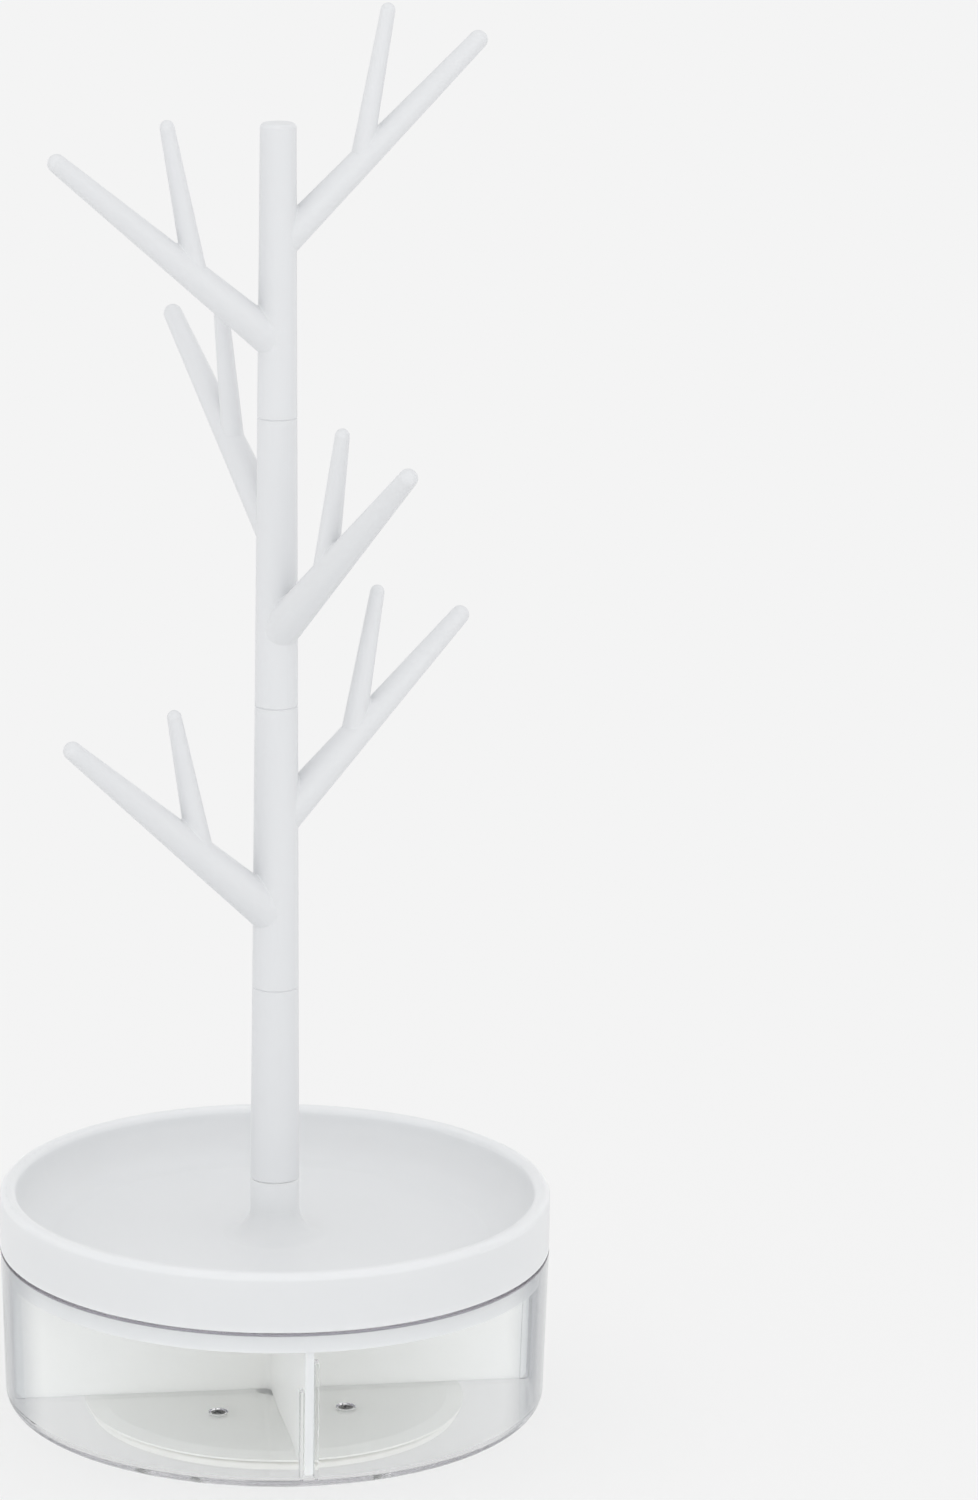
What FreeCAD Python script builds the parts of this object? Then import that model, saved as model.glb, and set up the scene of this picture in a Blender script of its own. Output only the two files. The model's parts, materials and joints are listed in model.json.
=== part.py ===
"""Jewellery stand: a tree of forked pegs on a round tray, over a clear divided box on a ball-race foot.

Millimetres, +Z up. The origin is on the stand's own axis, at the level of the surface it stands on.
Each function below makes one separate piece; build() at the end writes one STEP file per piece.
"""
import FreeCAD, Part
import math
import os

V = FreeCAD.Vector
UP = V(0, 0, 1)
tiny = 1e-3                 # lengths below this count as nothing

# --- Foot: a plate on rubber pads ---------------------------------------------------------------------
pad_count = 6
pad_radius = 4.0
pad_height = 1.4
pad_sink = 0.6              # depth of the pocket that holds a pad
pad_edge_gap = 5.0          # pad to the foot's edge
foot_radius = 50.5
foot_thickness = 1.8
foot_edge_round = 0.6
foot_hub_radius = 7.0

# --- Ball race between the foot and the turntable plate -----------------------------------------------
ball_count = 16
ball_radius = 1.19          # 3/32 inch steel ball
race_gap = 1.0              # foot plate to turntable plate
race_clearance = 0.08       # round each ball, in its two grooves
cage_thickness = 0.6
cage_width = 7.0
cage_clearance = 0.12       # ball to the hole that spaces it
cage_boss_gap = 1.8         # cage to the screw bosses inside it

# --- Turntable plate and its pivot --------------------------------------------------------------------
plate_radius = 52.0
plate_thickness = 1.4
plate_bevel_reach = 4.5     # sloping rim of the plate, from its top face to its edge
plate_bevel_drop = 0.9
rub_clearance = 0.3         # between faces that turn past each other
pivot_radius = 4.0
pivot_clearance = 0.05
pivot_head_radius = 5.2
pivot_head_thickness = 0.7
pivot_neck_radius = 2.5
washer_radius = 8.0
washer_thickness = 0.6

# --- Screws that hold the box on the turntable plate --------------------------------------------------
screw_count = 4
screw_ring_radius = 24.7
screw_radius = 1.3
screw_head_radius = 2.5
screw_head_height = 0.9
screw_slack = 0.15
screw_boss_radius = 4.0     # round each screw, under the turntable plate
screw_head_round = 0.3

# --- Clear box ----------------------------------------------------------------------------------------
box_mouth_radius = 75.0
box_taper = 1.2             # mouth radius less base radius
box_height = 44.0
wall_thickness = 2.2
floor_thickness = 2.4
box_corner_round = 4.0
box_inner_round = 1.6
mouth_round = 0.4
rib_thickness = 1.0
rib_depth = 3.0             # how far a guide rib stands in from the wall
rib_slack = 0.3             # rib to divider arm
rib_ring_gap = 2.9          # higher rib of each pair to the divider's ring
rib_step = 8.1              # higher rib to lower rib

# --- Divider insert -----------------------------------------------------------------------------------
divider_turn = 6.6          # degrees from +X to the first arm
arm_count = 4
arm_thickness = 2.2
arm_end_gap = 0.8           # arm end to the box wall
arm_top_gap = 0.5           # arm top to the tray's spigot
ring_height = 5.5
ring_thickness = 2.2
ring_gap = 0.4              # ring to the box wall at the mouth
ring_drop = 0.3             # ring top below the mouth
arm_root_round = 2.0

# --- Tray ---------------------------------------------------------------------------------------------
tray_height = 16.4          # mouth of the box to the top of the lip
tray_shell = 2.2
shadow_gap_height = 0.6
shadow_gap_depth = 1.1
lip_round = 2.0
lip_flat = 0.4              # level stretch between the lip's two rounds
dish_depth = 14.0
dish_fall = 0.4             # the floor's slope, centre to edge
boss_height = 2.4           # boss top above the lip
boss_flare_round = 7.5
spigot_gap = 0.4            # spigot to the divider ring
spigot_width = 2.0
spigot_depth = 2.8          # below the mouth of the box
pocket_angle = 20.0         # degrees below level where the pocket behind the skirt ends

# --- Trunk --------------------------------------------------------------------------------------------
trunk_base_radius = 6.65
trunk_tip_radius = 4.8
post_length = 54.0
tier_length = 78.1
seam_chamfer = 0.25
cap_round = 1.3
tenon_radius = 3.3
tenon_length = 12.0
tenon_lead = 0.5
tenon_clearance = 0.06
socket_end_gap = 0.6

# --- Pegs, in the upright plane of a tier. Reach is from the trunk's axis, height from the tier's foot ---
twig_root_reach = 22.4      # where a twig leaves its peg
upper_root_height = 45.2
upper_peg_reach = 54.3
upper_peg_height = 98.0
upper_twig_reach = 29.6
upper_twig_height = 106.5
lower_root_height = 19.5
lower_peg_reach = 60.0
lowest_peg_height = 72.0    # lower peg of the lower tier, which is the steepest
middle_peg_height = 71.7    # of the middle tier
highest_peg_height = 69.8   # of the upper tier
lower_twig_reach = 30.3
lower_twig_height = 78.0
upper_root_share = 0.87     # peg's radius at its root, as a share of the trunk's radius there
lower_root_share = 0.94
peg_tip_radius = 2.55
twig_root_share = 0.8       # twig's radius at its root, as a share of the peg's radius there
twig_tip_radius = 1.95
crotch_round = 0.4
lower_peg_turn = 182.5      # degrees from a tier's upper peg to its lower peg
upper_turn = 14.7           # degrees from +X to each tier's upper peg
middle_turn = 120.7
lower_turn = 23.6

# --- Levels and radii that follow ---------------------------------------------------------------------
foot_under = pad_height - pad_sink
pad_ring_radius = foot_radius - pad_edge_gap - pad_radius
cage_inner_radius = screw_ring_radius + screw_boss_radius + cage_boss_gap
race_radius = cage_inner_radius + cage_width / 2
foot_top = foot_under + foot_thickness
plate_under = foot_top + race_gap
plate_top = plate_under + plate_thickness
ball_level = (foot_top + plate_under) / 2
washer_under = foot_under + rub_clearance / 2
washer_seat = washer_under + washer_thickness + rub_clearance / 2
box_under = plate_top
floor_top = box_under + floor_thickness
mouth = box_under + box_height
lip_top = mouth + tray_height
boss_top = lip_top + boss_height
post_top = boss_top + post_length
tier_turns = {"lower_tier": lower_turn, "middle_tier": middle_turn, "upper_tier": upper_turn}
lower_peg_heights = (lowest_peg_height, middle_peg_height, highest_peg_height)
trunk_top = post_top + len(tier_turns) * tier_length
tray_radius = box_mouth_radius
mouth_inner_radius = box_mouth_radius - wall_thickness
ring_radius = mouth_inner_radius - ring_gap
ring_inner_radius = ring_radius - ring_thickness
spigot_radius = ring_inner_radius - spigot_gap
box_base_radius = box_mouth_radius - box_taper
wall_slope = box_taper / box_height
ring_top = mouth - ring_drop
ring_low = ring_top - ring_height
screw_head_seat = floor_top - screw_head_height
screw_end = foot_top + rub_clearance
screw_well_radius = screw_head_radius + screw_slack
arm_step = 360.0 / arm_count


def wall_inner(z):
    """Inner radius of the box wall at height z."""
    return box_base_radius + wall_slope * (z - box_under) - wall_thickness


def trunk_radius(z):
    """Radius of the tapered trunk at height z."""
    share = (z - boss_top) / (trunk_top - boss_top)
    return trunk_base_radius + share * (trunk_tip_radius - trunk_base_radius)


def upright_plate(outline, offset, thickness, angle):
    """Plate in an upright plane through the axis or beside it: (reach, height) points, then its turn."""
    points = [V(x, offset - thickness / 2, z) for x, z in outline + outline[:1]]
    plate = Part.Face(Part.makePolygon(points)).extrude(V(0, thickness, 0))
    plate.rotate(V(0, 0, 0), UP, angle)
    return plate


def cylinder(radius, low, high, x=0.0, y=0.0):
    """Upright cylinder from height low to height high."""
    return Part.makeCylinder(radius, high - low, V(x, y, low), UP)


def round_places(count, radius, start=0.0):
    """Centres of evenly spaced pieces on a circle."""
    angles = [math.radians(start + 360.0 * i / count) for i in range(count)]
    return [(radius * math.cos(a), radius * math.sin(a)) for a in angles]


def cylinders(places, radius, low, high):
    """One upright cylinder at each place."""
    return [cylinder(radius, low, high, x, y) for x, y in places]


def arc_edge(start, middle, end):
    """Arc in the XZ half-plane through three (radius, height) points."""
    points = [V(p[0], 0, p[1]) for p in (start, middle, end)]
    return Part.Arc(*points).toShape()


def line_edge(start, end):
    """Straight edge in the XZ half-plane."""
    return Part.makeLine(V(start[0], 0, start[1]), V(end[0], 0, end[1]))


def quarter(centre, radius, first, last):
    """Start, middle and end of an arc given by its centre and two angles in degrees."""
    angles = [math.radians(a) for a in (first, (first + last) / 2, last)]
    return [(centre[0] + radius * math.cos(a), centre[1] + radius * math.sin(a)) for a in angles]


def turned(outline):
    """Solid of revolution. Outline entries are points, or arcs given as lists of three points."""
    edges = []
    start = outline[0]
    last = start
    for entry in outline[1:] + [start]:
        if isinstance(entry, list):
            if math.dist(last, entry[0]) > tiny:
                edges.append(line_edge(last, entry[0]))
            edges.append(arc_edge(*entry))
            last = entry[2]
        else:
            if math.dist(last, entry) > tiny:
                edges.append(line_edge(last, entry))
            last = entry
    face = Part.Face(Part.Wire(edges))
    return face.revolve(V(0, 0, 0), UP, 360)


def fused(shapes):
    """One clean solid from overlapping shapes."""
    return shapes[0].fuse(shapes[1:]).removeSplitter()


def level_edges(body, height):
    """Edges that lie flat at one height."""
    found = [e for e in body.Edges if e.Length > tiny]
    return [e for e in found if e.BoundBox.ZLength < tiny and abs(e.BoundBox.ZMin - height) < tiny]


def is_upright(edge):
    """True for a straight edge along Z."""
    box = edge.BoundBox
    return box.XLength < tiny and box.YLength < tiny and box.ZLength > tiny


def from_axis(edge):
    """Distance of an edge's middle from the stand's axis."""
    return math.hypot(edge.CenterOfMass.x, edge.CenterOfMass.y)


# --- Foot body ----------------------------------------------------------------------------------------

def race_groove():
    """Ring that the balls roll round in, with their clearance."""
    return Part.makeTorus(race_radius, ball_radius + race_clearance, V(0, 0, ball_level), UP)


def foot_plate():
    r = foot_edge_round
    outer = turned([
        (0, foot_under),
        (foot_radius, foot_under),
        quarter((foot_radius - r, foot_top - r), r, 0, 90),
        (0, foot_top),
    ])
    hub = cylinder(foot_hub_radius, foot_under, plate_under - rub_clearance)
    plate = fused([outer, hub])
    pockets = cylinders(pad_places(), pad_radius, foot_under, pad_height)
    bore = cylinder(pivot_radius + pivot_clearance, 0, plate_under)
    recess = cylinder(washer_radius + rub_clearance, 0, washer_seat)
    return plate.cut(pockets + [bore, recess, race_groove()])


def pad_places():
    return round_places(pad_count, pad_ring_radius)


def foot_pad(x, y):
    return cylinder(pad_radius, 0, pad_height, x, y)


# --- Ball cage body -----------------------------------------------------------------------------------

def ball_cage():
    low = ball_level - cage_thickness / 2
    high = ball_level + cage_thickness / 2
    ring = cylinder(race_radius + cage_width / 2, low, high)
    middle = cylinder(cage_inner_radius, low, high)
    holes = cylinders(ball_places(), ball_radius + cage_clearance, low, high)
    return ring.cut([middle] + holes)


def ball_places():
    return round_places(ball_count, race_radius)


def bearing_ball(x, y):
    return Part.makeSphere(ball_radius, V(x, y, ball_level))


# --- Box body -----------------------------------------------------------------------------------------

def screw_places():
    """The screws stand midway between the divider's arms."""
    return round_places(screw_count, screw_ring_radius, divider_turn + arm_step / 2)


def turntable_plate():
    plate = turned([
        (0, plate_under),
        (plate_radius, plate_under),
        (plate_radius, plate_top - plate_bevel_drop),
        (plate_radius - plate_bevel_reach, plate_top),
        (0, plate_top),
    ])
    bosses = cylinders(screw_places(), screw_boss_radius, screw_end, plate_top)
    holes = cylinders(screw_places(), screw_radius, screw_end, plate_top)
    bore = cylinder(pivot_radius, plate_under, plate_top)
    head = cylinder(pivot_head_radius, plate_top - pivot_head_thickness, plate_top)
    return fused([plate] + bosses).cut(holes + [bore, head, race_groove()])


def pivot_pin():
    head_under = plate_top - pivot_head_thickness
    shoulder = washer_under + washer_thickness
    return fused([
        cylinder(pivot_head_radius, head_under, plate_top),
        cylinder(pivot_radius, shoulder, head_under),
        cylinder(pivot_neck_radius, washer_under, shoulder),
    ])


def pivot_washer():
    washer = cylinder(washer_radius, washer_under, washer_under + washer_thickness)
    return washer.cut(cylinder(pivot_neck_radius, 0, plate_top))


def floor_screws():
    screws = []
    for x, y in screw_places():
        shank = cylinder(screw_radius, screw_end, screw_head_seat, x, y)
        head = cylinder(screw_head_radius, screw_head_seat, floor_top, x, y)
        head = head.makeFillet(screw_head_round, level_edges(head, floor_top))
        screws.append(fused([shank, head]))
    return Part.makeCompound(screws)


def guide_rib(angle, side, top):
    """One fin beside the end of a divider arm, rooted in the wall and in the floor."""
    low = floor_top - floor_thickness / 2
    outer = wall_thickness / 2
    outline = [
        (wall_inner(low) - rib_depth, low),
        (wall_inner(low) + outer, low),
        (wall_inner(top) + outer, top),
        (wall_inner(top) - rib_depth, top),
    ]
    offset = side * (arm_thickness / 2 + rib_slack + rib_thickness / 2)
    return upright_plate(outline, offset, rib_thickness, angle)


def clear_box():
    r = box_corner_round
    i = box_inner_round
    m = mouth_round
    lean = math.degrees(math.atan(wall_slope))
    outer_arc = quarter((box_base_radius - r, box_under + r), r, -90, -lean)
    inner_arc = quarter((wall_inner(floor_top) - i, floor_top + i), i, -lean, -90)
    shell = turned([
        (0, box_under),
        outer_arc,
        quarter((box_mouth_radius - m, mouth - m), m, 0, 90),
        quarter((mouth_inner_radius + m, mouth - m), m, 90, 180),
        inner_arc,
        (0, floor_top),
    ])
    ribs = []
    for k in range(arm_count):
        angle = divider_turn + k * arm_step
        ribs.append(guide_rib(angle, -1, ring_low - rib_ring_gap - rib_step))
        ribs.append(guide_rib(angle, 1, ring_low - rib_ring_gap))
    wells = cylinders(screw_places(), screw_well_radius, screw_head_seat, mouth)
    holes = cylinders(screw_places(), screw_radius + screw_slack, box_under, mouth)
    return fused([shell] + ribs).cut(wells + holes)


def divider_arm(angle):
    """One upright plate, its lower outer corner cut off to clear the round inside the box."""
    top = mouth - spigot_depth - arm_top_gap
    corner = floor_top + box_inner_round
    outline = [
        (0, floor_top),
        (wall_inner(floor_top) - arm_end_gap - box_inner_round, floor_top),
        (wall_inner(corner) - arm_end_gap, corner),
        (wall_inner(top) - arm_end_gap, top),
        (0, top),
    ]
    return upright_plate(outline, 0, arm_thickness, angle)


def divider_insert():
    cross = fused([divider_arm(divider_turn + k * arm_step) for k in range(arm_count)])
    roots = [e for e in cross.Edges if is_upright(e) and from_axis(e) < arm_thickness]
    cross = cross.makeFillet(arm_root_round, roots)
    ring = cylinder(ring_radius, ring_low, ring_top).cut(cylinder(ring_inner_radius, ring_low, ring_top))
    return fused([cross, ring])


# --- Tray body ----------------------------------------------------------------------------------------

def tray():
    wall_in = tray_radius - lip_flat - lip_round * 2
    dish_round = dish_depth - lip_round
    floor_edge = wall_in - dish_round
    dish_floor = lip_top - dish_depth
    bend = (floor_edge, dish_floor + dish_round)
    under_bend = dish_round + tray_shell
    flare = boss_flare_round
    flare_centre = (trunk_base_radius + flare, dish_floor + dish_fall + flare)
    skirt_in = tray_radius - tray_shell
    step_in = tray_radius - shadow_gap_depth
    spigot_in = spigot_radius - spigot_width
    pocket_out = floor_edge + under_bend * math.cos(math.radians(pocket_angle))
    under_side = [
        (0, dish_floor + dish_fall - tray_shell),
        arc_between(bend, under_bend, floor_edge, spigot_in),
        (spigot_in, mouth - spigot_depth),
        (spigot_radius, mouth - spigot_depth),
        arc_between(bend, under_bend, spigot_radius, pocket_out),
    ]
    skirt = [
        (skirt_in, height_on_arc(bend, under_bend, pocket_out)),
        (skirt_in, mouth),
        (step_in, mouth),
        (step_in, mouth + shadow_gap_height),
        (tray_radius, mouth + shadow_gap_height),
    ]
    lip = [
        quarter((tray_radius - lip_round, lip_top - lip_round), lip_round, 0, 90),
        quarter((wall_in + lip_round, lip_top - lip_round), lip_round, 90, 180),
    ]
    dish = [
        quarter(bend, dish_round, 0, -90),
        quarter(flare_centre, flare, -90, -180),
        (trunk_base_radius, boss_top),
        (0, boss_top),
    ]
    return with_socket(turned(under_side + skirt + lip + dish), boss_top)


def height_on_arc(centre, radius, reach):
    """Height of the lower half of an arc at a distance from the Z axis."""
    return centre[1] - math.sqrt(radius ** 2 - (reach - centre[0]) ** 2)


def arc_between(centre, radius, near, far):
    """Start, middle and end of the lower part of an arc, from one distance to another."""
    stops = (near, (near + far) / 2, far)
    return [(reach, height_on_arc(centre, radius, reach)) for reach in stops]


# --- Trunk --------------------------------------------------------------------------------------------

def with_socket(body, top):
    """Chamfer the rim of a section's top face and bore the socket for the next section's tenon."""
    depth = tenon_length + socket_end_gap
    socket = cylinder(tenon_radius + tenon_clearance, top - depth, top)
    return body.makeChamfer(seam_chamfer, level_edges(body, top)).cut(socket)


def with_cap(body, top):
    """Round the rim of the topmost section."""
    return body.makeFillet(cap_round, level_edges(body, top))


def trunk_section(low, high):
    """Tapered length of trunk with a tenon below it."""
    c = seam_chamfer
    shaft = turned([
        (0, low),
        (trunk_radius(low) - c, low),
        (trunk_radius(low + c), low + c),
        (trunk_radius(high), high),
        (0, high),
    ])
    tenon = turned([
        (0, low - tenon_length),
        (tenon_radius - tenon_lead, low - tenon_length),
        (tenon_radius, low - tenon_length + tenon_lead),
        (tenon_radius, low),
        (0, low),
    ])
    return fused([shaft, tenon])


def trunk_post():
    return with_socket(trunk_section(boss_top, post_top), post_top)


def straight_rod(start, end, start_radius, end_radius):
    """Tapered rod with a round end, in the XZ plane."""
    axis = V(end[0] - start[0], 0, end[1] - start[1])
    length = axis.Length
    round_end = quarter((0, length), end_radius, 0, 90)
    body = turned([(0, 0), (start_radius, 0), round_end])
    body.Placement = FreeCAD.Placement(V(start[0], 0, start[1]), FreeCAD.Rotation(UP, axis))
    return body


def blended(body, limb):
    """Join a limb to a body and round the crotch between them."""
    joined = body.fuse(limb)
    skins = [body.Shells[0], limb.Shells[0]]
    crotch = [e for e in joined.Edges if e.Length > crotch_round and lies_on(e, skins)]
    return joined.makeFillet(crotch_round, crotch)


def lies_on(edge, skins):
    """True where the middle of an edge is on every skin."""
    first, last = edge.ParameterRange
    middle = Part.Vertex(edge.valueAt((first + last) / 2))
    return all(skin.distToShape(middle)[0] < tiny for skin in skins)


def fork(root_height, root_radius, peg_tip, twig_tip):
    """Straight peg from the trunk's axis and the twig that leaves it, in the XZ plane."""
    share = twig_root_reach / peg_tip[0]
    place = (twig_root_reach, root_height + share * (peg_tip[1] - root_height))
    radius = root_radius + share * (peg_tip_radius - root_radius)
    peg = straight_rod((0, root_height), peg_tip, root_radius, peg_tip_radius)
    twig = straight_rod(place, twig_tip, radius * twig_root_share, twig_tip_radius)
    return [peg, twig]


def tier(number, turn):
    """Trunk section with an upper peg on one side and a lower peg on the other. The first is number 0."""
    low = post_top + number * tier_length
    body = trunk_section(low, low + tier_length)
    upper_limbs = fork(
        upper_root_height, upper_root_share * trunk_radius(low + upper_root_height),
        (upper_peg_reach, upper_peg_height), (upper_twig_reach, upper_twig_height))
    lower_limbs = fork(
        lower_root_height, lower_root_share * trunk_radius(low + lower_root_height),
        (lower_peg_reach, lower_peg_heights[number]), (lower_twig_reach, lower_twig_height))
    limbs = [(limb, 0) for limb in upper_limbs] + [(limb, lower_peg_turn) for limb in lower_limbs]
    for limb, side in limbs:
        limb.rotate(V(0, 0, 0), UP, side)
        limb.translate(V(0, 0, low))
        body = blended(body, limb)
    top_finish = with_cap if number == len(tier_turns) - 1 else with_socket
    body = top_finish(body, low + tier_length)
    body.rotate(V(0, 0, 0), UP, turn)
    return body


def pieces():
    """Every piece of the stand, by name."""
    made = {
        "foot_plate": foot_plate(),
        "ball_cage": ball_cage(),
        "turntable_plate": turntable_plate(),
        "pivot_pin": pivot_pin(),
        "pivot_washer": pivot_washer(),
        "floor_screws": floor_screws(),
        "clear_box": clear_box(),
        "divider_insert": divider_insert(),
        "tray": tray(),
        "trunk_post": trunk_post(),
    }
    for number, (name, turn) in enumerate(tier_turns.items()):
        made[name] = tier(number, turn)
    for i, (x, y) in enumerate(pad_places()):
        made["foot_pad_%d" % (i + 1)] = foot_pad(x, y)
    for i, (x, y) in enumerate(ball_places()):
        made["bearing_ball_%02d" % (i + 1)] = bearing_ball(x, y)
    return made


def build():
    os.makedirs("parts", exist_ok=True)
    for name, shape in pieces().items():
        shape.exportStep("parts/%s.step" % name)
        size = shape.BoundBox
        print("%-16s solids %d  volume %9.1f mm3  z %6.2f to %6.2f  valid %s" % (
            name, len(shape.Solids), shape.Volume, size.ZMin, size.ZMax, shape.isValid()))


build()
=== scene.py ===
# %% [markdown]
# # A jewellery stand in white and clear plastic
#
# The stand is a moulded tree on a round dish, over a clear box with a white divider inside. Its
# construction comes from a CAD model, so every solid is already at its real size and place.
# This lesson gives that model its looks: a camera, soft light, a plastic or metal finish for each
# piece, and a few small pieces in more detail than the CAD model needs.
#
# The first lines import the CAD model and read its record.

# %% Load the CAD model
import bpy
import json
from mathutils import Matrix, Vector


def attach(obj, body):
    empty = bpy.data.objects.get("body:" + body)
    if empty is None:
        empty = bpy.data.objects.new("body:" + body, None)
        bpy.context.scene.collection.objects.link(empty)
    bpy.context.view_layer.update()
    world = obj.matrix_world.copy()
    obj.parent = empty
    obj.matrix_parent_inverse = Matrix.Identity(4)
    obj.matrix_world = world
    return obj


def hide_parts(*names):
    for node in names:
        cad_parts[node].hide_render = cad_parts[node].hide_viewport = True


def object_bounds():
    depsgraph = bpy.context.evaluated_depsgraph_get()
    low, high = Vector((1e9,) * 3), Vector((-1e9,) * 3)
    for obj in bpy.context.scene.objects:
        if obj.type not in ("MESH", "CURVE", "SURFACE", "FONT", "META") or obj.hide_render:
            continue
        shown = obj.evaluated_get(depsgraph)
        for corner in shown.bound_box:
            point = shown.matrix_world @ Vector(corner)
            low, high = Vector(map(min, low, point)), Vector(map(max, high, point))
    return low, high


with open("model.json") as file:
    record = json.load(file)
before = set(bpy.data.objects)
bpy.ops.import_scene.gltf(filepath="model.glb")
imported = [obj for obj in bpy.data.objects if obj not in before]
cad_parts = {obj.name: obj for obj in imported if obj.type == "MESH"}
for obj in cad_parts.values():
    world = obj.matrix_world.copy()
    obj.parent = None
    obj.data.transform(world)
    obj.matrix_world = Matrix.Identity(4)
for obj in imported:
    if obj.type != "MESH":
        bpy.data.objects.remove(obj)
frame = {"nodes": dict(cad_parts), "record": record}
cad_low, cad_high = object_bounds()
print("Solids to dress:", len(frame["nodes"]))

# %% [markdown]
# ## Tools and units
#
# Blender counts in metres and this lesson in millimetres, so lengths are multiplied by `MM`.

# %% Tools and units
import json
import math

import bmesh
import bpy
from mathutils import Matrix, Vector

MM = 0.001
size = (cad_high - cad_low) / MM
print("The stand measures %.1f x %.1f x %.1f mm" % tuple(size))

# %% [markdown]
# ## The camera
#
# A product is usually shown from far away with a long lens, because a near, wide lens makes its
# top look large and its foot small. This camera stands 1.5 m in front of the stand, a little
# above its top, and looks down by 14 degrees. The stand fills the left of the picture, and the
# lens shift moves it there without turning the camera, so that upright edges stay upright.

# %% Camera
picture_width = 978
picture_height = 1500
focal_length = 5773.9       # in pixels of the picture
lens_column = 200           # the pixel column that the lens points at
sensor_size = 36.0          # Blender measures its lens against this, along the longer side
camera_place = Vector((-20.4, -1500.0, 560.5)) * MM
camera_tilt = 13.963        # degrees that it looks down

camera = bpy.data.objects.new("camera", bpy.data.cameras.new("camera"))
camera.location = camera_place
camera.rotation_euler = (math.radians(90 - camera_tilt), 0, 0)
camera.data.sensor_width = sensor_size
camera.data.lens = focal_length / picture_height * sensor_size
camera.data.shift_x = (picture_width / 2 - lens_column) / picture_height
bpy.context.collection.objects.link(camera)
bpy.context.scene.camera = camera
print("Lens %.1f mm, shift %.3f" % (camera.data.lens, camera.data.shift_x))

# %% [markdown]
# ## Shader helpers
#
# Every finish below is a node tree with one Principled shader. The same few steps repeat, so they
# get short names here. The first two start a material and add a node to it.

# %% Start a material, add a node
def start_material(name):
    """New material with one Principled shader. Returns the material, its tree and the shader."""
    made = bpy.data.materials.new(name)
    made.use_nodes = True
    return made, made.node_tree, made.node_tree.nodes["Principled BSDF"]


def add(tree, kind, **values):
    """New node. A value whose name is a socket's, with _ for a space, sets that socket."""
    node = tree.nodes.new(kind)
    for name, value in values.items():
        socket = name.replace("_", " ")
        if socket in node.inputs:
            node.inputs[socket].default_value = value
        else:
            setattr(node, name, value)
    return node

# %% [markdown]
# The others pass values and colours along. The noise is measured on the object in millimetres, so
# that a grain has its real size on every piece.

# %% Noise, ramps, blends and relief
def noise(tree, grain_mm, detail=2.0):
    """Cloudy value from 0 to 1 whose clouds are about grain_mm across."""
    place = add(tree, "ShaderNodeTexCoord")
    cloud = add(tree, "ShaderNodeTexNoise", Scale=1 / (grain_mm * MM), Detail=detail)
    tree.links.new(place.outputs["Object"], cloud.inputs["Vector"])
    return cloud.outputs["Fac"]


def spread(tree, value, low, high):
    """Stretch a value from 0..1 to low..high."""
    stretch = add(tree, "ShaderNodeMapRange", To_Min=low, To_Max=high)
    tree.links.new(value, stretch.inputs["Value"])
    return stretch.outputs["Result"]


def smooth_step(tree, value, from_low, from_high, to_low, to_high):
    """Soft ramp between two levels."""
    ramp = add(tree, "ShaderNodeMapRange", interpolation_type="SMOOTHSTEP", From_Min=from_low,
               From_Max=from_high, To_Min=to_low, To_Max=to_high)
    tree.links.new(value, ramp.inputs["Value"])
    return ramp.outputs["Result"]


def blend_colours(tree, value, first, second):
    """Colour between two, by a value from 0 to 1."""
    mix = add(tree, "ShaderNodeMix", data_type="RGBA")
    mix.inputs["A"].default_value = (*first, 1)
    mix.inputs["B"].default_value = (*second, 1)
    tree.links.new(value, mix.inputs["Factor"])
    return mix.outputs["Result"]


def join_values(tree, kind, first, second):
    """One Math node on two sockets."""
    node = add(tree, "ShaderNodeMath", operation=kind)
    tree.links.new(first, node.inputs[0])
    tree.links.new(second, node.inputs[1])
    return node.outputs["Value"]


def bump(tree, value, depth_mm, strength):
    """Small relief from a value, for a shader's Normal."""
    relief = add(tree, "ShaderNodeBump", Distance=depth_mm * MM, Strength=strength)
    tree.links.new(value, relief.inputs["Height"])
    return relief.outputs["Normal"]

# %% [markdown]
# ## Moulded plastics
#
# The tree, the dish and the divider are white plastic with a satin finish. A mould leaves a very
# fine grain, and the white is never quite even: the colour drifts by one or two parts in a
# hundred over about two centimetres, and the gloss drifts with it. The foot's plates are a warmer
# white with a rougher grain, and the cage that spaces the balls is unpainted nylon.
#
# Thin white plastic is milky: some light goes through it. The dish and the divider are only 2 mm
# thick, and that light is what keeps the inside of the box bright, so they use the shader's
# subsurface scattering.
#
# ### The mould's parting line
#
# A tier of the tree comes out of a mould in two halves that meet along its pegs, and they leave a
# hair-thin raised line there. It is far too fine to model, so it is part of the relief: one value
# says how far a point is from the two upright half-planes that the pegs stand in.

# %% The mould's parting line
parting_half_width = 0.12   # in mm
parting_height = 0.04


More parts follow.
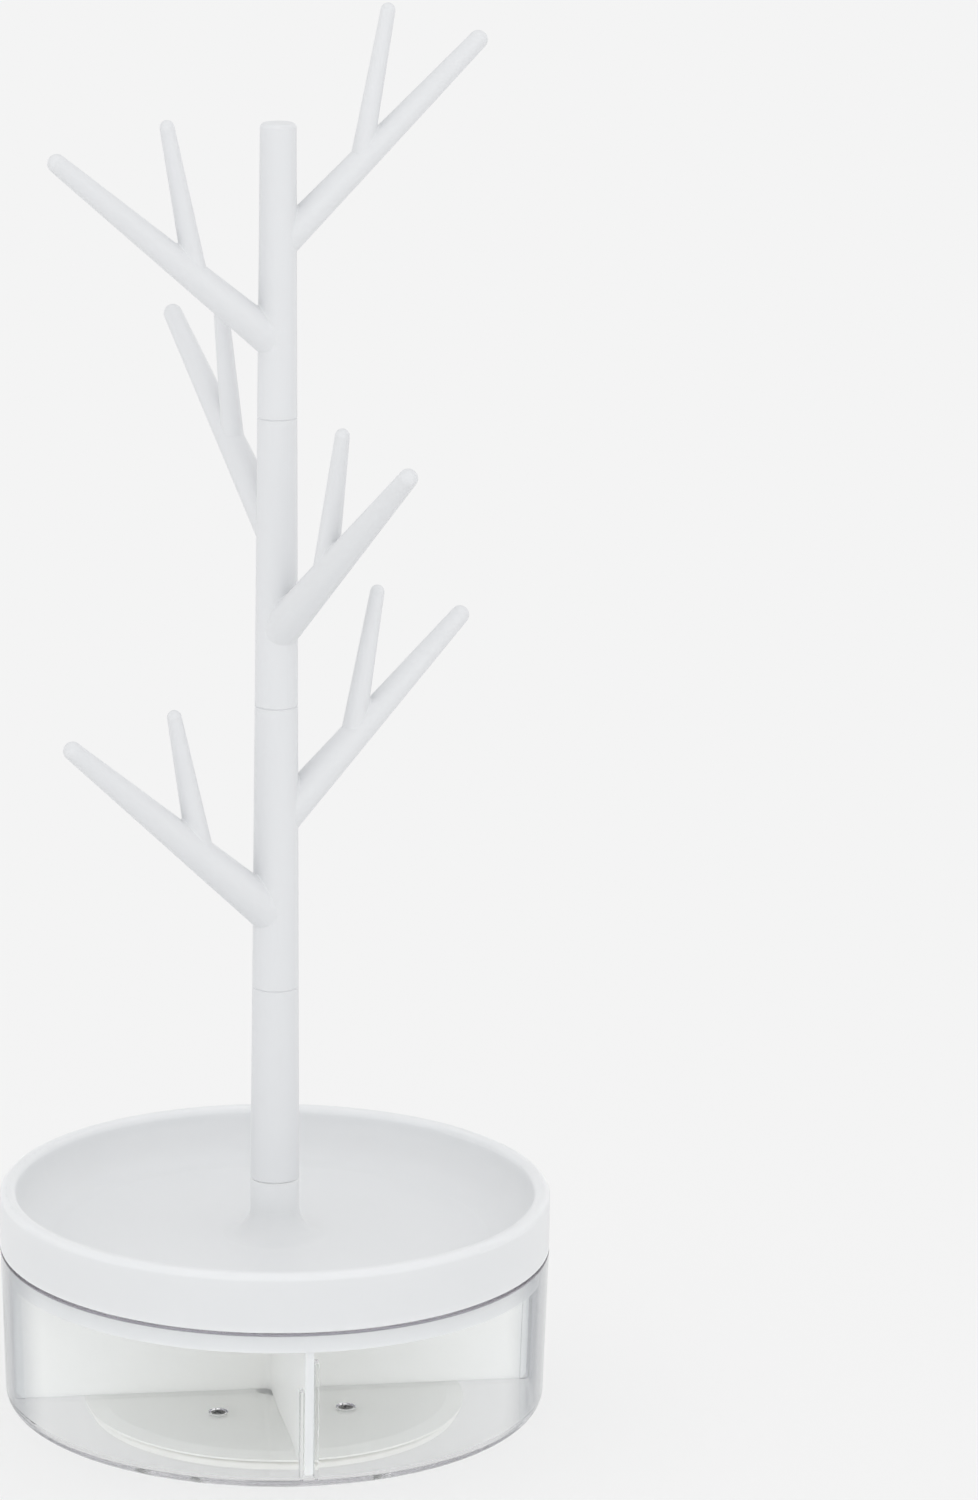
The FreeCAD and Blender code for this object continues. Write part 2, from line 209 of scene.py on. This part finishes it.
def parting_line(tree, upper_turn, lower_turn, half_width_mm):
    """Value that is 1 on the mould's parting line and 0 beside it. Turns are in degrees."""
    place = add(tree, "ShaderNodeTexCoord").outputs["Object"]
    hair = 0.001 * MM
    half_width = half_width_mm * MM

    def along(turn):
        turn = math.radians(turn)
        node = add(tree, "ShaderNodeVectorMath", operation="DOT_PRODUCT")
        tree.links.new(place, node.inputs[0])
        node.inputs[1].default_value = (math.cos(turn), math.sin(turn), 0)
        return node.outputs["Value"]

    def near(turn):
        node = add(tree, "ShaderNodeMath", operation="ABSOLUTE")
        tree.links.new(along(turn + 90), node.inputs[0])
        return smooth_step(tree, node.outputs["Value"], 0.3 * half_width, half_width, 1, 0)

    side = along(upper_turn)
    on_upper_side = smooth_step(tree, side, -hair, hair, 0, 1)
    on_lower_side = smooth_step(tree, side, -hair, hair, 1, 0)
    return join_values(
        tree, "ADD",
        join_values(tree, "MULTIPLY", on_upper_side, near(upper_turn)),
        join_values(tree, "MULTIPLY", on_lower_side, near(lower_turn)))

# %% [markdown]
# ### Painted shade on the divider's edge
#
# The divider's outer edge, its ring and the ends of its arms, gets more light than the inside of
# the box, so a painted shade greys it. The grey depends on how far a point is from the stand's
# axis.

# %% Painted shade on the divider's edge
# Grey of the painted shade on the divider's ring and the ends of its arms
edge_shade_grey = (0.75, 0.755, 0.76)
edge_shade_fade = 0.8           # in mm, over which the grey comes in


def painted_edge_shade(tree, colour, beyond_mm):
    """The colour with painted shade: greyer where a point is further than beyond_mm from the
    stand's axis.
    """
    place = add(tree, "ShaderNodeTexCoord")
    flat = add(tree, "ShaderNodeVectorMath", operation="MULTIPLY")
    flat.inputs[1].default_value = (1, 1, 0)
    tree.links.new(place.outputs["Object"], flat.inputs[0])
    reach = add(tree, "ShaderNodeVectorMath", operation="LENGTH")
    tree.links.new(flat.outputs["Vector"], reach.inputs[0])
    outside = smooth_step(tree, reach.outputs["Value"], beyond_mm * MM,
                          (beyond_mm + edge_shade_fade) * MM, 0, 1)
    edge_shaded = blend_colours(tree, outside, (1, 1, 1), edge_shade_grey)
    tree.links.new(colour, edge_shaded.node.inputs["A"])
    return edge_shaded

# %% [markdown]
# ### The plastic itself
#
# One recipe serves all moulded pieces: two shades, a range of gloss and a grain. Only some pieces
# are milky, have painted shade on an edge, or are marked by a parting line.

# %% The plastic itself
cloud_size = 18.0           # in mm, of the drift in colour and gloss
plastic_bending = 1.48      # how strongly the plastic bends light


def moulded_plastic(name, light, dark, gloss, grain_mm, grain_depth_mm, milky_mm=None,
                    shade_beyond_mm=None, peg_turns=None):
    """White or cream plastic. Its last three values are for the pieces that need them."""
    made, tree, shader = start_material(name)
    clouds = noise(tree, cloud_size)
    colour = blend_colours(tree, clouds, dark, light)
    # Painted shade: greyer on the outer edge
    if shade_beyond_mm:
        colour = painted_edge_shade(tree, colour, shade_beyond_mm)
    tree.links.new(colour, shader.inputs["Base Color"])
    tree.links.new(spread(tree, clouds, *gloss), shader.inputs["Roughness"])
    relief = bump(tree, noise(tree, grain_mm, 3.0), grain_depth_mm, 0.5)
    if peg_turns:
        line = bump(tree, parting_line(tree, *peg_turns, parting_half_width), parting_height, 0.6)
        tree.links.new(relief, line.node.inputs["Normal"])
        relief = line
    tree.links.new(relief, shader.inputs["Normal"])
    shader.inputs["IOR"].default_value = plastic_bending
    if milky_mm:
        shader.inputs["Subsurface Weight"].default_value = 1.0
        shader.inputs["Subsurface Radius"].default_value = (1, 1, 1)
        shader.inputs["Subsurface Scale"].default_value = milky_mm * MM
    print("Finish:", name)
    return made

# %% [markdown]
# ### Plastics of the tree
#
# The post is one plain piece. Each tier points its pegs a different way, so each has its own
# copy of the plastic, with the parting line turned to its pegs.

# %% Plastics of the tree
tree_white = ((0.715, 0.725, 0.74), (0.70, 0.71, 0.725))
satin = (0.36, 0.44)        # roughness, at its lowest and highest
fine_grain = (0.35, 0.006)  # width and depth of the mould's grain, in mm
upper_peg_turn = {"lower_tier": 23.6, "middle_tier": 120.7, "upper_tier": 14.7}
opposite_turn = 182.5       # from a tier's upper peg to its lower peg

white_plastic = moulded_plastic("white_plastic", *tree_white, satin, *fine_grain)
tier_plastic = {
    tier: moulded_plastic("plastic_" + tier, *tree_white, satin, *fine_grain,
                          peg_turns=(turn, turn + opposite_turn))
    for tier, turn in upper_peg_turn.items()}

# %% [markdown]
# ### Plastics of the dish, the divider and the foot
#
# The dish is painted light: it is a little lighter than the tree, though both are the same white
# plastic, so that the shade inside the dish stays light. The divider is lighter still and warmer,
# because what is seen of it comes through the clear wall, which takes some light away.

# %% Plastics of the dish, the divider and the foot
# Painted light: lighter than the tree's white, to keep the dish's shade light
tray_plastic = moulded_plastic(
    "tray_plastic", (0.76, 0.77, 0.78), (0.745, 0.755, 0.765), (0.32, 0.38), *fine_grain,
    milky_mm=1.5)
# The divider's ring and arm ends beyond 70.4 mm get painted shade
divider_plastic = moulded_plastic(
    "divider_plastic", (0.94, 0.935, 0.91), (0.93, 0.925, 0.90), (0.30, 0.38), *fine_grain,
    milky_mm=2.0, shade_beyond_mm=70.4)
foot_plastic = moulded_plastic(
    "foot_plastic", (0.94, 0.93, 0.90), (0.93, 0.92, 0.89), (0.5, 0.6), 0.5, 0.02)
cage_plastic = moulded_plastic(
    "cage_plastic", (0.72, 0.71, 0.67), (0.68, 0.67, 0.63), (0.4, 0.5), 0.8, 0.01)

# %% [markdown]
# ## Clear plastic
#
# The box is clear polystyrene, 2 mm thick. A shader can fake that with transparency alone, but
# then the thick edges and the round bottom corner would not gather light and shade. So it is real
# glass with this plastic's bending of light. Cycles can't aim light through glass, which would
# leave the inside of the box dark. So for the rays that only carry light, those of shadows and of
# soft light, a plain see-through shader takes its place.
#
# ### Tint of the clear plastic
#
# Two tints are painted shade. Where the wall is seen at a slant, the sight goes through more
# plastic, which greys it a little, but the tint is far darker than that: it paints the shade that a
# dim room leaves in the slanted edges. And the rim, which the skirt of the dish hides from the
# light, is painted dark to draw the thin shaded seam under the dish.

# %% Tint of the clear plastic
clear_tints = (0.988, 0.993, 0.996), (0.993, 0.997, 1.0)
slant_from, slant_full = 0.50, 0.72     # 0 where the wall faces the eye, 1 where it is edge-on
# Painted shade of the slanted wall
slant_painted_shade = (0.42, 0.44, 0.47)
level_from, level_full = 0.9, 0.5       # upright part of the surface's direction: floor, wall
rim_shade_from, rim_shade_full = 48.2, 48.5     # height in mm
# Painted shade of the rim under the dish's skirt
rim_painted_shade = (0.22, 0.20, 0.24)
untinted = (1, 1, 1)


def clear_tint(tree):
    """Colour of the clear plastic, with painted shade: greyer at a slant and dark at the rim."""
    thin = blend_colours(tree, noise(tree, 30.0), *clear_tints)
    slant = add(tree, "ShaderNodeLayerWeight", Blend=0.5)
    place = add(tree, "ShaderNodeTexCoord")
    upright = add(tree, "ShaderNodeSeparateXYZ")
    tree.links.new(place.outputs["Normal"], upright.inputs["Vector"])
    level = add(tree, "ShaderNodeMath", operation="ABSOLUTE")
    tree.links.new(upright.outputs["Z"], level.inputs[0])
    wall = smooth_step(tree, level.outputs["Value"], level_full, level_from, 1, 0)
    edge = smooth_step(tree, slant.outputs["Facing"], slant_from, slant_full, 0, 1)
    slant_shade_mask = join_values(tree, "MULTIPLY", wall, edge)
    tint = blend_colours(tree, slant_shade_mask, untinted, slant_painted_shade)
    tree.links.new(thin, tint.node.inputs["A"])
    where = add(tree, "ShaderNodeSeparateXYZ")
    tree.links.new(place.outputs["Object"], where.inputs["Vector"])
    rim = smooth_step(tree, where.outputs["Z"], rim_shade_from * MM, rim_shade_full * MM, 0, 1)
    shaded = blend_colours(tree, rim, untinted, rim_painted_shade)
    tree.links.new(tint, shaded.node.inputs["A"])
    return shaded

# %% [markdown]
# ### The clear finish
#
# The glass-like shader and the see-through one are mixed by the kind of ray. The shine is tinted
# darker than white, because a plain room is reflected more dimly than this bright sky.

# %% The clear finish
clear_bending = 1.55
clear_roughness = 0.02
shine_tint = (0.50, 0.52, 0.55)
see_through_tint = (0.99, 0.995, 0.998)


def clear_plastic():
    """Clear glass-like plastic that lets shadow rays and soft light straight through."""
    made, tree, shader = start_material("polished_clear_plastic")
    tree.links.new(clear_tint(tree), shader.inputs["Base Color"])
    shader.inputs["Transmission Weight"].default_value = 1.0
    shader.inputs["Roughness"].default_value = clear_roughness
    shader.inputs["IOR"].default_value = clear_bending
    shader.inputs["Specular Tint"].default_value = (*shine_tint, 1)
    see_through = add(tree, "ShaderNodeBsdfTransparent", Color=(*see_through_tint, 1))
    mix = add(tree, "ShaderNodeMixShader")
    ray = add(tree, "ShaderNodeLightPath")
    soft_light = join_values(
        tree, "MAXIMUM", ray.outputs["Is Shadow Ray"], ray.outputs["Is Diffuse Ray"])
    tree.links.new(soft_light, mix.inputs["Fac"])
    tree.links.new(shader.outputs["BSDF"], mix.inputs[1])
    tree.links.new(see_through.outputs["BSDF"], mix.inputs[2])
    tree.links.new(mix.outputs["Shader"], tree.nodes["Material Output"].inputs["Surface"])
    print("Finish:", made.name)
    return made


clear_box_plastic = clear_plastic()

# %% [markdown]
# ## Metal and rubber
#
# The screws, the pin in the middle and its washer are zinc-plated steel, and stamping leaves its
# gloss uneven. The face of each screw, with its recess, is a dark steel.
# The balls are ground and polished. The pads are pale silicone rubber with a dull, dusty grain,
# so that none of them shows through the clear box.

# %% Finish of the screws, the pivot, the balls and the pads
fine_detail = 4.0           # how far the noise goes into detail


def metal(name, light, dark, gloss, grain_mm):
    """Bare or plated metal. Its colour, gloss and faint relief follow the same clouds."""
    made, tree, shader = start_material(name)
    clouds = noise(tree, grain_mm, fine_detail)
    tree.links.new(blend_colours(tree, clouds, dark, light), shader.inputs["Base Color"])
    tree.links.new(spread(tree, clouds, *gloss), shader.inputs["Roughness"])
    tree.links.new(bump(tree, clouds, 0.01, 0.3), shader.inputs["Normal"])
    shader.inputs["Metallic"].default_value = 1.0
    print("Finish:", name)
    return made


def rubber():
    """Dull rubber with dust in patches and a fine grain."""
    made, tree, shader = start_material("silicone_rubber")
    dust = noise(tree, 2.5, fine_detail)
    grain = noise(tree, 0.25)
    tree.links.new(blend_colours(tree, dust, (0.66, 0.66, 0.63), (0.72, 0.72, 0.70)),
                   shader.inputs["Base Color"])
    tree.links.new(spread(tree, dust, 0.6, 0.8), shader.inputs["Roughness"])
    tree.links.new(bump(tree, grain, 0.03, 0.6), shader.inputs["Normal"])
    print("Finish:", made.name)
    return made


dark_face_steel = metal("dark_face_steel", (0.17, 0.165, 0.16), (0.12, 0.117, 0.115), (0.35, 0.5), 1.5)
zinc_plate = metal("zinc_plate", (0.78, 0.78, 0.77), (0.70, 0.70, 0.69), (0.3, 0.45), 2.0)
ball_steel = metal("ball_steel", (0.72, 0.72, 0.73), (0.66, 0.66, 0.67), (0.06, 0.12), 1.0)
pad_rubber = rubber()

# %% [markdown]
# ## Give each solid its finish
#
# The CAD model's record names a kind of material for each solid. A table turns that kind into a
# finish, and the five pieces with a plastic of their own get it afterwards.

# %% Give each solid its finish
finishes = {
    "white_plastic": white_plastic,
    "clear_plastic": clear_box_plastic,
    "foot_plastic": foot_plastic,
    "cage_plastic": cage_plastic,
    "pad_rubber": pad_rubber,
    "steel": zinc_plate,
    "bearing_steel": ball_steel,
}
for part in frame["record"]["subparts"]:
    solid = frame["nodes"][part["node"]]
    solid.data.materials.clear()
    solid.data.materials.append(finishes[part["material_slot"]])
special = {"divider_insert": divider_plastic, "tray": tray_plastic, **tier_plastic}
for node_name, plastic in special.items():
    frame["nodes"][node_name].data.materials[0] = plastic

# %% [markdown]
# ## Screws with a cross recess
#
# Four screws hold the clear box on its turntable plate, and their heads show on the box floor. The
# CAD model has a plain head on a plain shank. A real one has a thread below and a cross-shaped
# recess on top, and the eye looks for both.
#
# The skin of a screw is a stack of rings, and so is that of a pad further on, so the tools for it
# come first: one makes the skin, one makes an object of it, and one sets copies out on a ring
# round the stand's axis.

# %% A skin through rings
sharp_from = 40


def ring_skin(rings):
    """Closed skin through a stack of rings, each given as its height and a radius per point."""
    skin = bmesh.new()
    loops = []
    for height, radii in rings:
        step = math.tau / len(radii)
        loops.append([skin.verts.new((r * math.cos(i * step) * MM, r * math.sin(i * step) * MM,
                                      height * MM)) for i, r in enumerate(radii)])
    for low, high in zip(loops, loops[1:]):
        for i in range(len(low)):
            j = (i + 1) % len(low)
            skin.faces.new((low[i], low[j], high[j], high[i]))
    skin.faces.new(loops[0][::-1])
    skin.faces.new(loops[-1])
    return skin


def even_ring(height, radius, points):
    """Ring with the same radius at each point."""
    return height, [radius] * points


def as_object(name, skin):
    """Object from a bmesh, smooth but for edges that turn by more than sharp_from degrees."""
    mesh = bpy.data.meshes.new(name)
    skin.to_mesh(mesh)
    skin.free()
    mesh.shade_smooth()
    mesh.set_sharp_from_angle(angle=math.radians(sharp_from))
    made = bpy.data.objects.new(name, mesh)
    bpy.context.collection.objects.link(made)
    return made


def add_on_ring(skin, mesh, ring_radius, turn_degrees, spin_degrees=0):
    """Add a copy of a mesh to a bmesh, out on a ring round the stand's axis."""
    turn = math.radians(turn_degrees)
    out = Vector((math.cos(turn), math.sin(turn), 0)) * ring_radius * MM
    copy = mesh.copy()
    copy.transform(Matrix.Translation(out) @ Matrix.Rotation(math.radians(spin_degrees), 4, "Z"))
    skin.from_mesh(copy)
    bpy.data.meshes.remove(copy)

# %% [markdown]
# ### Sizes of a screw
#
# It is a small self-tapping screw with a low head, as in many plastic boxes.

# %% Sizes of a screw
ring_points = 32
screw_tip, head_low, head_top = 2.95, 6.5, 7.4          # heights above the table
tip_radius, tip_height = 0.55, 0.25
thread_core, thread_crest, thread_pitch = 1.0, 1.28, 0.6
thread_levels = 36
thread_end = 0.3            # below the head
neck_radius, neck_flare, neck_height = 1.2, 1.28, 0.1
head_radius, head_dome = 2.45, 0.25
head_edge, head_rise = 0.12, 0.02       # the small slope round the head's lower edge
head_side = 0.14            # height of the head's upright side
shoulder_round = 0.55
shoulder_levels, dome_levels = 12, 6
face_radius, face_margin = 1.95, 0.05   # how far out the face is dark, and how far below the recess
recess_reach, recess_width, recess_depth = 1.45, 0.62, 0.55
recess_foot_share, recess_mouth_share = 0.72, 1.12      # of the cross, at its foot and above
cutter_spare = 0.2          # the cutter's height above the head
print("Screw: %.2f mm long, head %.1f mm across" % (head_top - screw_tip, 2 * head_radius))

# %% [markdown]
# ### Thread and head
#
# A ring of the thread has a different radius at each point, and the pattern winds once round in
# one pitch. The head is rings too: an upright side, a round shoulder and a flat dome.

# %% Thread and head
def thread_radii(height):
    """Radius of the thread at each point of a ring."""
    radii = []
    for i in range(ring_points):
        turn = (height / thread_pitch - i / ring_points) % 1
        radii.append(thread_core + (thread_crest - thread_core) * (1 - abs(2 * turn - 1)))
    return radii


def screw_rings():
    """Rings of a screw from its tip to the middle of its dome."""
    thread_low = screw_tip + tip_height
    thread_high = head_low - thread_end
    side_top = head_low + head_side
    shoulder_top = head_top - head_dome
    dome_radius = head_radius - shoulder_round

    thread = []
    for k in range(thread_levels + 1):
        height = thread_low + (thread_high - thread_low) * k / thread_levels
        thread.append((height, thread_radii(height)))

    head = [(head_low - neck_height, neck_radius), (head_low, neck_flare),
            (head_low + head_rise, head_radius - head_edge)]
    for k in range(shoulder_levels + 1):
        bend = math.pi / 2 * k / shoulder_levels
        head.append((side_top + (shoulder_top - side_top) * math.sin(bend),
                     dome_radius + shoulder_round * math.cos(bend)))
    for k in range(1, dome_levels + 1):
        share = 1 - k / (dome_levels + 0.5)
        head.append((head_top - head_dome * share ** 2, dome_radius * share))

    tip = even_ring(screw_tip, tip_radius, ring_points)
    return [tip] + thread + [even_ring(*level, ring_points) for level in head]

# %% [markdown]
# ### The cutter for the recess
#
# A cross doesn't fit a stack of rings, so it is a separate piece, narrower at its foot as the
# recess is.

# %% The cutter for the recess
def cross_cutter():
    """Cross-shaped cutter that narrows downwards."""
    half = recess_width / 2
    arm = [(recess_reach, -half), (recess_reach, half), (half, half)]
    outline = [(x * c - y * s, x * s + y * c) for c, s in ((1, 0), (0, 1), (-1, 0), (0, -1))
               for x, y in arm]
    cutter = bmesh.new()

    def loop(share, height):
        return [cutter.verts.new((share * x * MM, share * y * MM, height * MM))
                for x, y in outline]

    low = loop(recess_foot_share, head_top - recess_depth)
    high = loop(recess_mouth_share, head_top + cutter_spare)
    for i in range(len(low)):
        j = (i + 1) % len(low)
        cutter.faces.new((low[i], low[j], high[j], high[i]))
    cutter.faces.new(low[::-1])
    cutter.faces.new(high)
    return cutter

# %% [markdown]
# ### Cut the recess
#
# A Boolean modifier takes the cutter out of the head. Its result is kept as a mesh, and the two
# shapes that made it are removed.

# %% Cut the recess
blank = as_object("screw_blank", ring_skin(screw_rings()))
cutter = as_object("recess_cutter", cross_cutter())
cut = blank.modifiers.new("recess", "BOOLEAN")
cut.operation = "DIFFERENCE"
cut.solver = "EXACT"
cut.object = cutter
shapes = bpy.context.evaluated_depsgraph_get()
screw_mesh = bpy.data.meshes.new_from_object(blank.evaluated_get(shapes))
bpy.data.objects.remove(blank)
bpy.data.objects.remove(cutter)
print("Recess cut %.2f mm deep" % recess_depth)

# %% [markdown]
# ### Bright steel with a dark face
#
# The faces on top of the head and in the recess get the second material, the dark steel.

# %% Bright steel, and a dark face with its recess
screw_mesh.materials.clear()
screw_mesh.materials.append(zinc_plate)
screw_mesh.materials.append(dark_face_steel)
for polygon in screw_mesh.polygons:
    on_face = (polygon.center.z > (head_top - recess_depth - face_margin) * MM
               and polygon.center.xy.length < face_radius * MM)
    polygon.material_index = 1 if on_face else 0
dark_faces = sum(polygon.material_index for polygon in screw_mesh.polygons)
print("One screw has", len(screw_mesh.polygons), "faces,", dark_faces, "of them dark")

# %% [markdown]
# ### Four screws
#
# The screws stand on a ring, a quarter turn apart. Together they take the place of the CAD
# model's screws, which are hidden, and they hang from an empty named for the box.

# %% Four screws
screw_ring_radius = 24.7
first_screw_turn = 51.6
recess_turns = (12, 57, 31, 76)     # hand-driven screws stop at any angle

four_screws = bmesh.new()
for k, recess_turn in enumerate(recess_turns):
    turn = first_screw_turn + 90 * k
    add_on_ring(four_screws, screw_mesh, screw_ring_radius, turn, recess_turn)
screws = as_object("screws", four_screws)
screws.data.materials.append(zinc_plate)
screws.data.materials.append(dark_face_steel)
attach(screws, "box")
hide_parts("floor_screws")
print("Screws:", len(screws.data.polygons), "faces")

# %% [markdown]
# ## Soft pads under the foot
#
# The six pads are pressed from a silicone sheet and glued into pockets. Their lower edge is round,
# and the middle of the sole is a little hollow, so that the rim grips first. They are again stacks
# of rings, all in one mesh.

# %% Pads
pad_count = 6
pad_ring_radius = 41.5
pad_radius, pad_height = 4.0, 1.4
pad_round, pad_bevel = 0.5, 0.12        # lower and upper edge
hollow_depth = 0.12
pad_points = 48
round_levels = 8

profile = [(hollow_depth, 0.4), (0.7 * hollow_depth, 1.8), (0.02, 2.9)]     # height and radius
for k in range(round_levels + 1):
    bend = math.pi / 2 * k / round_levels
    profile.append((pad_round * (1 - math.cos(bend)),
                    pad_radius - pad_round * (1 - math.sin(bend))))
profile += [(pad_height - pad_bevel, pad_radius), (pad_height, pad_radius - pad_bevel)]
pad_mesh = bpy.data.meshes.new("one_pad")
ring_skin([even_ring(*level, pad_points) for level in profile]).to_mesh(pad_mesh)

six_pads = bmesh.new()
for k in range(pad_count):
    add_on_ring(six_pads, pad_mesh, pad_ring_radius, 360 / pad_count * k)
soles = as_object("pads", six_pads)
soles.data.materials.append(pad_rubber)
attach(soles, "foot")
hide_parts(*["foot_pad_%d" % (k + 1) for k in range(pad_count)])
print("Pads:", len(soles.data.polygons), "faces")

# %% [markdown]
# ## Where clear plastic touches
#
# Two pieces that rest on each other share a face. That is right for a solid, but a ray of light
# that leaves the clear floor there is already inside the plate below it, and comes back black.
# Real pieces have a film of air between them. So the box sinks by 0.01 mm, and the plate that
# carries it by 0.02 mm. A Displace modifier does this without a change to the mesh itself.

# %% Film of air round the clear box
def sink(node_name, depth_mm):
    """Lower a solid of the CAD model by a modifier."""
    lower = frame["nodes"][node_name].modifiers.new("film_of_air", "DISPLACE")
    lower.direction = "Z"
    lower.mid_level = 0
    lower.strength = -depth_mm * MM
    print("Sunk by %.2f mm:" % depth_mm, node_name)


sink("clear_box", 0.01)
sink("turntable_plate", 0.02)

# %% [markdown]
# ## Floor
#
# The floor is a large white card. It is as white to the other pieces as paper is. What the camera
# sees of it, straight or through the clear box, is part paper and part glow, so that it is near
# white and still carries the stand's shadow.

# %% Floor
paper_white = 0.92          # how much light the floor gives back
floor_seen, floor_glow = 0.22, 0.678            # paper and glow, for the camera and reflections
floor_through, floor_glow_through = 0.12, 0.60  # the same, through clear plastic
floor_roughness = 0.9


def by_ray(tree, light, seen, through):
    """Grey for rays that carry light, for those that see the floor, and through clear plastic."""
    ray = add(tree, "ShaderNodeLightPath")
    straight = join_values(
        tree, "MAXIMUM", ray.outputs["Is Camera Ray"], ray.outputs["Is Glossy Ray"])
    first = blend_colours(tree, straight, (light,) * 3, (seen,) * 3)
    second = blend_colours(tree, ray.outputs["Is Transmission Ray"], (0, 0, 0), (through,) * 3)
    tree.links.new(first, second.node.inputs["A"])
    return second


def floor_finish():
    """Matt white card that also glows a little."""
    made, tree, shader = start_material("floor_card")
    tree.links.new(by_ray(tree, paper_white, floor_seen, floor_through),
                   shader.inputs["Base Color"])
    tree.links.new(by_ray(tree, 0, floor_glow, floor_glow_through),
                   shader.inputs["Emission Color"])
    shader.inputs["Emission Strength"].default_value = 1.0
    shader.inputs["Roughness"].default_value = floor_roughness
    shader.inputs["Specular IOR Level"].default_value = 0.0
    return made


floor_reach = 60.0          # in metres, so that a low camera doesn't see its edge
floor_mesh = bpy.data.meshes.new("floor")
corners = [(-floor_reach, -floor_reach, 0), (floor_reach, -floor_reach, 0),
           (floor_reach, floor_reach, 0), (-floor_reach, floor_reach, 0)]
floor_mesh.from_pydata(corners, [], [(0, 1, 2, 3)])
floor_mesh.materials.append(floor_finish())
floor = bpy.data.objects.new("floor", floor_mesh)
bpy.context.collection.objects.link(floor)
print("Floor: %g m square" % (2 * floor_reach))

# %% [markdown]
# ## Sky
#
# White plastic on white shows its form only by soft shade. The light is one sky without lamps. It
# is even but for a slow change from dark at the back and below to light above, and for two bright
# bands low over the horizon, like windows: a strong one in front and a weaker one behind. They are
# low because the inside of the box gets its light from there, under the tray, and the one behind
# shines through the milky divider. A camera that looks past the floor sees plain white instead.

# %% Sky
sky_dark = 0.10
sky_light = 1.10
light_side = Vector((0.1, -0.25, 1.0)).normalized()
front_side = Vector((-0.25, -1.0, 0.0)).normalized()
front_light = 1.2
front_fade = (-0.3, 0.5)    # how nearly a ray points there where the window starts and is full
back_side = Vector((0.0, 1.0, 0.0))
back_light = 0.8
back_fade = (0.1, 0.7)
window_foot = 0.02          # height, as a sine, up to which the windows are brightest
window_head = 0.40          # and where they end
sky_seen = 0.905            # for the camera: the floor's own white


def towards(tree, direction):
    """Value from -1 to 1: how nearly a ray of the sky points in a direction."""
    ray = add(tree, "ShaderNodeTexCoord")
    node = add(tree, "ShaderNodeVectorMath", operation="DOT_PRODUCT")
    tree.links.new(ray.outputs["Generated"], node.inputs[0])
    node.inputs[1].default_value = direction
    return node.outputs["Value"]


world = bpy.data.worlds.new("studio")
bpy.context.scene.world = world
world.use_nodes = True
sky_tree = world.node_tree
sky = sky_tree.nodes["Background"]
sky.inputs["Color"].default_value = (1, 1, 1, 1)
dome = smooth_step(sky_tree, towards(sky_tree, light_side), -1, 1, sky_dark, sky_light)
front = smooth_step(sky_tree, towards(sky_tree, front_side), *front_fade, 0, front_light)
back = smooth_step(sky_tree, towards(sky_tree, back_side), *back_fade, 0, back_light)
low = smooth_step(
    sky_tree, towards(sky_tree, Vector((0, 0, 1))), window_foot, window_head, 1, 0)
windows = join_values(
    sky_tree, "MULTIPLY", join_values(sky_tree, "ADD", front, back), low)
seen = add(sky_tree, "ShaderNodeMix", data_type="FLOAT", B=sky_seen)
sky_tree.links.new(add(sky_tree, "ShaderNodeLightPath").outputs["Is Camera Ray"],
                   seen.inputs["Factor"])
sky_tree.links.new(join_values(sky_tree, "ADD", dome, windows), seen.inputs["A"])
sky_tree.links.new(seen.outputs["Result"], sky.inputs["Strength"])
print("Sky from %.2f to %.2f, windows %.1f and %.1f" % (
    sky_dark, sky_light, front_light, back_light))

# %% [markdown]
# ## Long paths of light
#
# A ray that enters the rounded bottom of the box is passed on inside the plastic many times before
# it leaves, and the inside of the box is lit by light that has gone through it four times. Cycles
# gives up on a ray after a few turns and counts it as black, so the limits are raised here.

# %% Limits for rays of light
turns_in_plastic = 96
limits = bpy.context.scene.cycles
limits.max_bounces = turns_in_plastic
limits.transmission_bounces = turns_in_plastic
limits.glossy_bounces = turns_in_plastic
limits.diffuse_bounces = 8
limits.transparent_max_bounces = 24
print("A ray may turn %d times" % limits.max_bounces)

# %% [markdown]
# ## Colour handling
#
# The Standard view shows a white of 1 as white.

# %% Colour handling
bpy.context.scene.view_settings.view_transform = "Standard"
